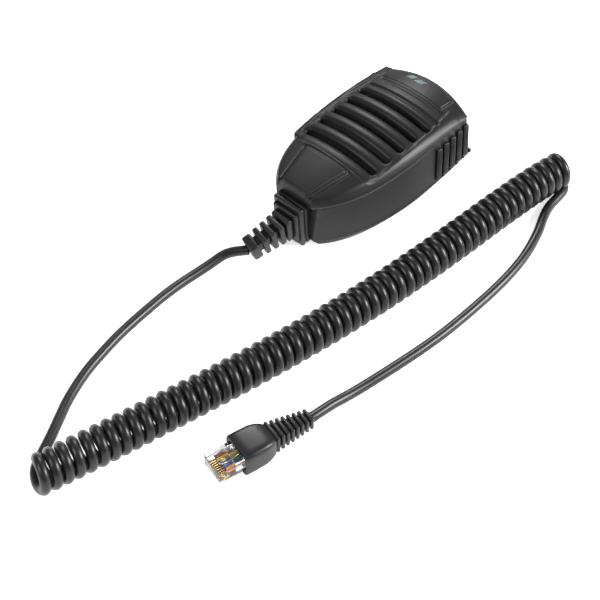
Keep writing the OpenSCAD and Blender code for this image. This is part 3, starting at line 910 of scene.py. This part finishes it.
@dataclass
class RearShell:
    """Deep back of the case with its ledge, window and grip ribs."""

    outline: Outline = field(default_factory=Outline)
    seam_z: float = 23.0
    foot_z: float = 3.0
    flare: float = 2.7
    window_y: float = 26.0
    window_z: float = 13.3
    window_l: float = 26.7
    window_h: float = 14.3
    window_r: float = 1.6
    rib_n: int = 5
    rib_y: float = 17.6
    rib_z: float = 12.3
    rib_pitch: float = 5.0

    def _side(self, z: float) -> float:
        """Inset of the side wall at height z."""
        return self.flare * max(0.0, (z - self.foot_z) / (self.seam_z - self.foot_z))

    def build(self) -> list[bpy.types.Object]:
        """Builds the tub, its window and its ribs.

        Returns:
            The shell and the ribs.
        """
        out = self.outline
        rings = [out.ring(g, g, z) for g, z in (
            (2.6, 0.0), (2.1, 0.12), (1.7, 0.4), (0.75, 1.5), (0.3, 2.1),
            (0.08, 2.6), (0.0, 3.2), (0.25, 3.5), (0.4, 4.1))]
        for z in (6.5, 10.0, 14.0, 18.0, 21.5, 22.5):
            g = self._side(z) + 0.3
            rings.append(out.ring(g, g * 0.8, z))
        seam = self.seam_z
        rings += [out.ring(g, g * 0.8, z) for g, z in (
            (2.95, seam - 0.15), (3.2, seam), (3.9, seam), (4.2, seam - 0.3),
            (4.4, seam - 1.5), (4.0, 8.0), (4.4, 2.4))]
        bm = bmesh.new()
        loft(bm, rings)
        shell = finished("rear_case_tub", bm, LAY, (SHELL,), 32.0)
        self._cut_window(shell)
        keep(shell, nodes=("rear_shell",))
        return [shell, self._ribs()]

    def _cut_window(self, shell: bpy.types.Object) -> None:
        """Opens the wall for the push-to-talk button.

        Args:
            shell: The tub.
        """
        bm = bmesh.new()
        add_block(bm, (14.0, self.window_l, self.window_h),
                  Matrix.Translation((-33.0, self.window_y, self.window_z)),
                  self.window_r)
        cut_away(shell, finished("window_cutter", bm, LAY, (SHELL,)))

    def _ribs(self) -> bpy.types.Object:
        """Builds slanted saw-tooth ribs with a nub at each foot.

        Returns:
            The ribs.
        """
        bm = bmesh.new()
        lean = math.atan(self.flare / (self.seam_z - self.foot_z))
        inset = self._side(12.0) + 0.3
        cx, cy, radius, _ = self.outline.corner(inset)
        for i in range(self.rib_n):
            y = self.rib_y + self.rib_pitch * i
            x, turn = self.outline.side(y, inset), 0.0
            if y > cy:
                turn = (y - cy) / radius
                x, y = cx + radius * math.cos(turn), cy + radius * math.sin(turn)
            upright = (Matrix.Translation((x, y, self.rib_z))
                       @ Matrix.Rotation(turn, 4, "Z")
                       @ Matrix.Rotation(-lean, 4, "Y"))
            rib = (upright @ Matrix.Rotation(math.radians(-10), 4, "X")
                   @ Matrix.Rotation(math.radians(-14), 4, "Z"))
            add_block(bm, (2.6, 3.0, 16.4), rib, 0.5)
            nub = upright @ Matrix.Translation((0.5, 1.6, -7.4))
            add_block(bm, (2.2, 1.8, 2.0), nub, 0.6)
        ribs = finished("grip_ribs", bm, LAY, (SHELL,), 50.0)
        return keep(ribs)


@dataclass
class TalkButton:
    """Push-to-talk button in the left side."""

    length: float = 26.0
    height: float = 13.6
    depth: float = 9.4
    bow: float = 1.4
    middle: Point = (-27.4, 26.0, 13.3)

    def build(self) -> bpy.types.Object:
        """Builds the crowned button with its finger ridges.

        Returns:
            The button.
        """
        bm = bmesh.new()
        place = Matrix.Translation(self.middle)
        verts = add_block(bm, (self.depth, self.length, self.height), place, 1.3, 4)
        for vert in verts:
            if vert.co.x < self.middle[0]:
                t = (vert.co.y - self.middle[1]) / (self.length / 2)
                vert.co.x += self.bow * t * t
        for i in range(-2, 3):
            ridge = Matrix.Translation((self.middle[0] - self.depth / 2 + 0.05 * i * i,
                                        self.middle[1] + 3.0 * i, self.middle[2]))
            add_block(bm, (0.9, 1.1, 7.5), ridge, 0.35)
        flange = Matrix.Translation((-23.2, 23.3, 12.5))
        add_block(bm, (1.2, 23.0, 14.0), flange, 0.4)
        stem = (Matrix.Translation((-23.0, 26.0, 13.5))
                @ Matrix.Rotation(math.pi / 2, 4, "Y"))
        add_rod(bm, 2.0, 0.75, stem)
        piece = finished("talk_button", bm, LAY, (BUTTON,), 45.0)
        return keep(piece, "ptt", ("ptt_button",))


@dataclass
class StrainRelief:
    """Square rubber relief: collar plates, ribs and a chamfered end."""

    collar: tuple[float, float] = (17.0, 23.0)
    collar_y: float = -53.0
    middle_z: float = 11.5
    ribs: int = 3
    pitch: float = 4.1
    end_l: float = 4.6

    @staticmethod
    def _angles(i: int) -> tuple[float, float]:
        """Yaw and droop of rib i, in radians."""
        return math.radians(3 + 3.2 * i), math.radians(2 + 3.6 * i)

    def _heading(self, i: int) -> Vector:
        """Direction that rib i faces, away from the case."""
        yaw, droop = self._angles(i)
        return Vector((-math.sin(yaw) * math.cos(droop),
                       -math.cos(yaw) * math.cos(droop), -math.sin(droop)))

    def station(self, i: int) -> Vector:
        """Place of rib i in the case frame.

        Args:
            i: Number of the rib, from the case.
        Returns:
            The middle of its face towards the case.
        """
        at = Vector((0, self.collar_y - 1.8, self.middle_z))
        for k in range(i):
            at += self.pitch * (self._heading(k) + self._heading(k + 1)) / 2
        return at

    def _frame(self, i: int) -> Matrix:
        """Matrix of rib i."""
        yaw, droop = self._angles(i)
        return (Matrix.Translation(self.station(i))
                @ Matrix.Rotation(droop, 4, "X") @ Matrix.Rotation(-yaw, 4, "Z"))

    def end(self) -> Vector:
        """Where the cord leaves the end block, in the part's frame."""
        last = self.ribs + 1
        return LAY @ (self.station(last) + self._heading(last) * self.end_l)

    def build(self) -> bpy.types.Object:
        """Builds the relief as one piece.

        Returns:
            The relief.
        """
        bm = bmesh.new()
        width, height = self.collar
        for size, y, radius in (((width, 2.6, height), -51.9, 0.9),
                                ((width, 3.4, height - 0.6), -48.6, 0.6),
                                ((width - 1.4, 1.2, height - 1.8), -50.4, 0.2),
                                ((14.4, 2.2, 17.8), self.collar_y - 0.9, 0.8)):
            add_block(bm, size, Matrix.Translation((0, y, self.middle_z)), radius, 4)
        last = self.ribs + 1
        for i in range(last + 1):
            w, h = 10.9 - 0.42 * i, 12.6 - 0.8 * i
            length = self.end_l if i == last else 3.4 if i == 0 else 2.7
            block = self._frame(i) @ Matrix.Translation((0, -length / 2, 0))
            add_block(bm, (w, length, h), block, 1.1 if i == last else 0.8, 4)
            if i < last:
                core = self._frame(i) @ Matrix.Translation((0, -self.pitch / 2, 0))
                add_block(bm, (5.6, self.pitch + 1.4, 6.0), core, 0.8)
        key = Matrix.Translation((0, -46.4, self.middle_z))
        add_block(bm, (9.6, 3.0, 9.6), key, 0.4)
        piece = finished("relief_body", bm, LAY, (RUBBER,), 50.0)
        return keep(piece, nodes=("strain_relief",))


# --- the cord --------------------------------------------------------------------


@dataclass
class CurlyCord:
    """The whole cord: lead, coil and tail on one smooth line."""

    exit: Vector
    diameter: float = 4.6
    coil_d: float = 18.0
    turns: int = 56
    per_turn: int = 20
    floor: float = 2.32
    spacing: float = 2.0
    wobble: float = 0.12
    coil_axis: tuple[Point, ...] = (
        (27, -221, 9), (28.5, -215, 9), (33, -196, 9), (38, -173.5, 9),
        (43.3, -149, 9), (48, -126, 9), (52, -104, 9), (55.6, -81, 9),
        (58.6, -56, 9), (60.8, -30, 9), (62.3, -3, 9), (63.4, 22, 9),
        (65, 46, 9), (67.3, 62, 9))

    def lead(self) -> list[Vector]:
        """Route from the relief to the coil's first turn.

        Returns:
            Its points.
        """
        z = self.floor
        rest = [(-9.5, -82, 4), (-10.8, -90, 2.8), (-11.6, -99, z),
                (-12.1, -108, z), (-12, -118, z), (-11.2, -128, z),
                (-10.2, -138, z), (-8.8, -148, z), (-6.7, -158, z),
                (-4.2, -168, z), (-1, -177, z), (3, -186, z), (7.5, -194, z),
                (12, -202, z), (16.2, -210, z), (20.4, -217, z)]
        return [self.exit] + [Vector(p) for p in rest]

    def tail(self) -> list[Vector]:
        """Route from the coil's last turn into the plug's boot.

        Returns:
            Its points.
        """
        z = self.floor
        rest = [(71.4, 60, z), (73.6, 56, z), (74.3, 50, z),
                (75.2, 43, z), (77.6, 36, z), (81, 28.5, z), (84.2, 19.5, z),
                (87, 9, z), (88.9, -3, z), (89.9, -15, z), (90.3, -27, z),
                (90.4, -39, z), (90.1, -51, z), (89.2, -63, z), (88, -74, z),
                (86.6, -85, z), (85.2, -95, z), (84, -104, z + 0.5),
                (83.1, -112, 4)]
        plug = PlugFrame()
        rear = plug.rear()
        return [Vector(p) for p in rest] + [rear, rear - 4 * plug.axis()]

    @staticmethod
    def smooth(points: Sequence[Vector], spacing: float) -> list[Vector]:
        """Points at even distances on a smooth line through the given ones.

        Args:
            points: Points that the line passes through.
            spacing: Distance between the new points.
        Returns:
            The new points, with both ends kept.
        """
        fine: list[Vector] = []
        ends = [2 * points[0] - points[1], *points, 2 * points[-1] - points[-2]]
        for a, b, c, d in zip(ends, ends[1:], ends[2:], ends[3:]):
            for k in range(12):
                t = k / 12
                fine.append(0.5 * (2 * b + (c - a) * t
                                   + (2 * a - 5 * b + 4 * c - d) * t * t
                                   + (3 * b - a - 3 * c + d) * t ** 3))
        fine.append(points[-1].copy())
        total = sum((q - p).length for p, q in zip(fine, fine[1:]))
        count = max(2, round(total / spacing))
        out, gone, goal = [fine[0].copy()], 0.0, total / count
        for p, q in zip(fine, fine[1:]):
            size = (q - p).length
            while gone + size >= goal * len(out) - 1e-9 and len(out) < count:
                out.append(p.lerp(q, (goal * len(out) - gone) / size))
            gone += size
        return out + [fine[-1].copy()]

    def helix(self) -> list[Vector]:
        """Winds the coil, from its underside to its underside.

        Returns:
            Its points.
        """
        count = self.turns * self.per_turn
        axis = self.smooth([Vector(p) for p in self.coil_axis], 0.25)
        radius = (self.coil_d - self.diameter) / 2
        out = []
        for k in range(count + 1):
            f = k / count
            place = f * (len(axis) - 1)
            i = min(len(axis) - 2, int(place))
            at = axis[i].lerp(axis[i + 1], place - i)
            a, b = axis[max(0, i - 6)], axis[min(len(axis) - 1, i + 6)]
            ahead = (b - a).normalized()
            side = ahead.cross(Vector((0, 0, 1))).normalized()
            rise = side.cross(ahead)
            turn = 2 * math.pi * k / self.per_turn
            wobble = self.wobble * math.sin(0.61 * turn / math.pi + 1.0)
            out.append(at + ahead * wobble
                       + radius * (side * math.sin(turn) - rise * math.cos(turn)))
        return out

    def build(self, with_pieces: Sequence[bpy.types.Object]) -> bpy.types.Object:
        """Builds the cord as one open spline.

        Args:
            with_pieces: The pieces on the cord; not used.
        Returns:
            The cord.
        """
        helix = self.helix()
        lead = self.smooth(self.lead() + helix[:1], self.spacing)
        tail = self.smooth(helix[-1:] + self.tail(), self.spacing)
        points = self._ease(lead[:-1] + helix + tail[1:])
        curve = bpy.data.curves.new("curly_cord", "CURVE")
        curve.dimensions = "3D"
        curve.bevel_depth = self.diameter / 2 * MM
        curve.bevel_resolution = 5
        curve.use_fill_caps = True
        line = curve.splines.new("POLY")
        line.points.add(len(points) - 1)
        for spot, at in zip(line.points, points):
            spot.co = (*(at * MM), 1.0)
        line.use_smooth = True
        curve.materials.append(material(CORD))
        cord = link("curly_cord", curve)
        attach(cord, "root")
        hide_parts("cord_lead", "cord_coil", "cord_tail")
        return cord

    @staticmethod
    def _ease(points: list[Vector]) -> list[Vector]:
        """Smooths the line where its stretches meet.

        Args:
            points: The whole line.
        Returns:
            As many points, with both ends kept.
        """
        out = [p.copy() for p in points]
        for _ in range(2):
            last = out
            out = [last[0]] + [a * 0.2 + b * 0.6 + c * 0.2 for a, b, c in zip(
                last, last[1:], last[2:])] + [last[-1]]
        return out


# --- the plug --------------------------------------------------------------------


@dataclass
class PlugFrame:
    """The plug's own frame, +Y from its mouth to the cord."""

    turn: float = math.radians(-12)
    at: Point = (74.8, -158.4, 6.2)
    hood_l: float = 16.0
    boot_l: float = 20.0
    drop: float = 1.4

    def matrix(self) -> Matrix:
        """Matrix of the plug's frame."""
        return Matrix.Translation(self.at) @ Matrix.Rotation(self.turn, 4, "Z")

    def axis(self) -> Vector:
        """Direction of the cord from the plug."""
        return Vector((-math.sin(self.turn), math.cos(self.turn), 0))

    def rear(self) -> Vector:
        """Where the cord enters the boot."""
        return (Vector(self.at) + (self.hood_l + self.boot_l) * self.axis()
                - Vector((0, 0, self.drop)))


@dataclass
class ModularPlug:
    """Clear eight-way plug in a rubber hood with a ribbed boot."""

    frame: PlugFrame = field(default_factory=PlugFrame)
    width: float = 11.7
    height: float = 6.6
    out: float = 11.5
    ribs: int = 8
    ways: int = 8
    pitch: float = 1.02

    def build(self) -> list[bpy.types.Object]:
        """Builds the plug's pieces.

        Returns:
            All of them.
        """
        return [self._hood(), self._boot(), self._body(), self._contacts(),
                self._wires(), self._latch()]

    def _way_x(self, i: int) -> float:
        """Place of contact i across the plug."""
        return (i - (self.ways - 1) / 2) * self.pitch

    @staticmethod
    def _super(half_x: float, half_z: float, y: float, power: float) -> list[Point]:
        """Makes a rounded rectangle across the plug.

        Args:
            half_x: Half its width.
            half_z: Half its height.
            y: Its station.
            power: Squareness: 2 is an ellipse.
        Returns:
            Its points.
        """
        out = []
        for k in range(48):
            a = 2 * math.pi * k / 48
            c, s = math.cos(a), math.sin(a)
            out.append((half_x * math.copysign(abs(c) ** (2 / power), c), y,
                        half_z * math.copysign(abs(s) ** (2 / power), s)))
        return out

    def _hood(self) -> bpy.types.Object:
        """Builds the rubber hood: open at the mouth, tapered behind.

        Returns:
            The piece.
        """
        shape = [(0.35, 7.1, 5.6), (0.0, 7.4, 5.95), (0.5, 7.7, 6.2),
                 (4.0, 7.72, 6.2), (9.5, 7.6, 6.15), (12.6, 7.0, 5.7),
                 (14.6, 6.2, 5.0), (15.7, 5.5, 4.4), (15.95, 4.9, 4.0)]
        mouth = [(9.0, 5.9, 3.5), (0.9, 6.0, 3.6), (0.35, 6.3, 4.2)]
        rings = [self._super(x, z, y, 7.0) for y, x, z in mouth]
        rings += [self._super(x, z, y, 6.0) for y, x, z in shape]
        bm = bmesh.new()
        loft(bm, rings)
        piece = finished("plug_hood_rubber", bm, self.frame.matrix(), (RUBBER,), 50.0)
        return keep(piece, nodes=("plug_hood",))

    def _boot(self) -> bpy.types.Object:
        """Builds the ribbed boot behind the hood.

        Returns:
            The piece.
        """
        bm = bmesh.new()
        pitch = self.frame.boot_l / self.ribs
        for i in range(self.ribs):
            f = i / self.ribs
            w, h = 10.8 - 4.4 * f, 8.8 - 2.8 * f
            drop = self.frame.drop * f
            y = self.frame.hood_l + i * pitch
            rib = Matrix.Translation((0, y + pitch * 0.33, -drop))
            add_block(bm, (w, pitch * 0.62, h), rib, 0.55, 3)
            core = Matrix.Translation((0, y + pitch * 0.5, -drop))
            add_block(bm, (w - 2.4, pitch + 0.3, h - 2.2), core, 0.8, 3)
        piece = finished("plug_boot_rubber", bm, self.frame.matrix(), (RUBBER,), 50.0)
        return keep(piece, nodes=("plug_boot",))

    def _body(self) -> bpy.types.Object:
        """Builds the clear body with its comb of contact slots.

        Returns:
            The piece.
        """
        bm = bmesh.new()
        body_l = self.out + 8.5
        mid = Matrix.Translation((0, -self.out + body_l / 2, 0))
        add_block(bm, (self.width, body_l, self.height), mid, 0.45, 3)
        piece = finished("plug_body_clear", bm, self.frame.matrix(), (CLEAR,), 40.0)
        bm = bmesh.new()
        for i in range(self.ways):
            slot = Matrix.Translation((self._way_x(i), -self.out + 2.6, -2.75))
            add_block(bm, (0.52, 5.6, 1.4), slot)
        hollow = Matrix.Translation((0, 3.6, 0))
        add_block(bm, (self.width - 2.4, 14.0, self.height - 2.6), hollow, 0.4)
        cut_away(piece, finished("comb_cutter", bm, self.frame.matrix(), (CLEAR,)))
        return keep(piece, nodes=("plug_body",))

    def _contacts(self) -> bpy.types.Object:
        """Builds the gold blades.

        Returns:
            The piece.
        """
        bm = bmesh.new()
        for i in range(self.ways):
            blade = Matrix.Translation((self._way_x(i), -self.out + 2.8, -2.55))
            add_block(bm, (0.36, 4.8, 1.3), blade, 0.12, 2)
        piece = finished("plug_blades", bm, self.frame.matrix(), (GOLD,))
        return keep(piece, nodes=("plug_contacts",))

    def _wires(self) -> bpy.types.Object:
        """Builds the coloured wires side by side in the plug.

        Returns:
            The piece.
        """
        colours = (("White", (0.8, 0.8, 0.78)), ("Red", (0.5, 0.05, 0.03)),
                   ("Yellow", (0.85, 0.65, 0.03)), ("Brown", (0.3, 0.12, 0.05)),
                   ("Violet", (0.2, 0.1, 0.45)), ("Green", (0.05, 0.35, 0.12)),
                   ("Blue", (0.05, 0.12, 0.5)), ("Orange", (0.8, 0.28, 0.03)))
        bm = bmesh.new()
        for i in range(self.ways):
            place = (Matrix.Translation((self._way_x(i), -self.out + 4.4, 0.1))
                     @ Matrix.Rotation(-math.pi / 2, 4, "X"))
            add_rod(bm, 0.46, self.out + 4.4, place, 14, 0.12, i)
        finishes = [wire_finish(n, c) for n, c in colours]
        piece = finished("plug_wire_row", bm, self.frame.matrix(), finishes)
        return keep(piece, nodes=("plug_wires",))

    def _latch(self) -> bpy.types.Object:
        """Builds the sprung tongue over the plug.

        Returns:
            The piece.
        """
        bm = bmesh.new()
        place = (Matrix.Translation((0, -self.out + 2.6, self.height / 2 + 0.15))
                 @ Matrix.Rotation(math.radians(8), 4, "X"))
        length = self.out - 3.0
        tongue = place @ Matrix.Translation((0, length / 2, 0.05))
        add_block(bm, (5.8, length, 0.85), tongue, 0.25, 2)
        piece = finished("plug_tongue", bm, self.frame.matrix(), (CLEAR,))
        return keep(piece, "latch", ("plug_latch",))


# --- carried-over nodes and the studio ---------------------------------------------


@dataclass
class InnerPieces:
    """CAD nodes that stay, each with its finish."""

    finishes: dict[str, Finish] = field(default_factory=lambda: {
        "dust_felt": FELT, "rating_plate": FOIL, "speaker_gasket": FOAM,
        "speaker_basket": STEEL, "speaker_cone": PAPER, "speaker_magnet": STEEL,
        "circuit_board": BOARD, "board_chips": CHIP, "board_screws": STEEL,
        "ptt_switch": CHIP, "switch_plunger": IVORY, "mic_capsule": STEEL,
        "mic_boot": RUBBER, "case_screws": STEEL, "hang_button": STEEL,
        "hang_screw": STEEL, "cord_clamp": STEEL, "clamp_screws": STEEL,
        "board_header": IVORY, "lead_wires": CORD})

    def dress(self) -> None:
        """Gives each node its material."""
        for name, finish in self.finishes.items():
            node = frame["nodes"][name]
            node.data.materials.clear()
            node.data.materials.append(material(finish))
            LOG.info("%s: %s", name, finish.name)


@dataclass
class Studio:
    """White floor, soft light and the camera."""

    eye: Point = (338.0, -394.7, 488.3)
    ahead: Point = (-0.46598, 0.48254, -0.74163)
    lens: float = 90.0
    sensor: float = 36.0
    aim: Point = (0.03, -0.05, 0.0)
    room: float = 0.3
    lamps: tuple[tuple[str, Point, float, float], ...] = (
        ("back", (1.0, 0.75, 0.75), 0.6, 40.0),
        ("key", (-0.75, 0.75, 1.0), 0.5, 12.0),
        ("front", (-0.3, -1.1, 0.9), 0.6, 9.0))

    def camera(self) -> None:
        """Makes the camera and gives it to the scene."""
        data = bpy.data.cameras.new("view")
        data.lens = self.lens
        data.sensor_width = self.sensor
        data.clip_end = 10.0
        cam = link("view", data)
        cam.location = Vector(self.eye) * MM
        cam.rotation_mode = "QUATERNION"
        cam.rotation_quaternion = Vector(self.ahead).to_track_quat("-Z", "Y")
        bpy.context.scene.camera = cam

    def floor(self) -> None:
        """Makes the floor."""
        bm = bmesh.new()
        bmesh.ops.create_grid(bm, x_segments=2, y_segments=2, size=3000.0)
        mat = bpy.data.materials.new("FloorWhite")
        mat.use_nodes = True
        shader = mat.node_tree.nodes["Principled BSDF"]
        shader.inputs["Base Color"].default_value = (0.93, 0.93, 0.93, 1)
        shader.inputs["Roughness"].default_value = 0.8
        shader.inputs["Specular IOR Level"].default_value = 0.2
        shader.inputs["Emission Color"].default_value = (1, 1, 1, 1)
        shader.inputs["Emission Strength"].default_value = 0.7
        plane = finished("studio_floor", bm, Matrix.Identity(4), ())
        plane.data.materials.append(mat)

    def lights(self) -> None:
        """Makes the soft boxes and the white room.

        Each lamp has a name, a place and a size in metres, and a power in watts.
        """
        world = bpy.data.worlds.new("room")
        world.use_nodes = True
        sky = world.node_tree.nodes["Background"]
        sky.inputs["Color"].default_value = (1, 1, 1, 1)
        sky.inputs["Strength"].default_value = self.room
        bpy.context.scene.world = world
        for name, at, size, power in self.lamps:
            data = bpy.data.lights.new(name, "AREA")
            data.size = size
            data.energy = power
            lamp = link(name, data)
            lamp.location = at
            lamp.rotation_mode = "QUATERNION"
            aim = Vector(self.aim) - Vector(at)
            lamp.rotation_quaternion = aim.to_track_quat("-Z", "Y")
        bpy.context.scene.view_settings.view_transform = "Standard"


def main() -> None:
    """Builds everything in order."""
    logging.basicConfig(level=logging.INFO)
    studio = Studio()
    studio.camera()
    relief = StrainRelief()
    pieces = ModularPlug().build()
    relief_piece = relief.build()
    CurlyCord(relief.end()).build([*pieces, relief_piece])
    front = FrontShell()
    front.build()
    NameBadge(front).build()
    RearShell().build()
    TalkButton().build()
    InnerPieces().dress()
    studio.floor()
    studio.lights()


if __name__ == "__main__":
    main()
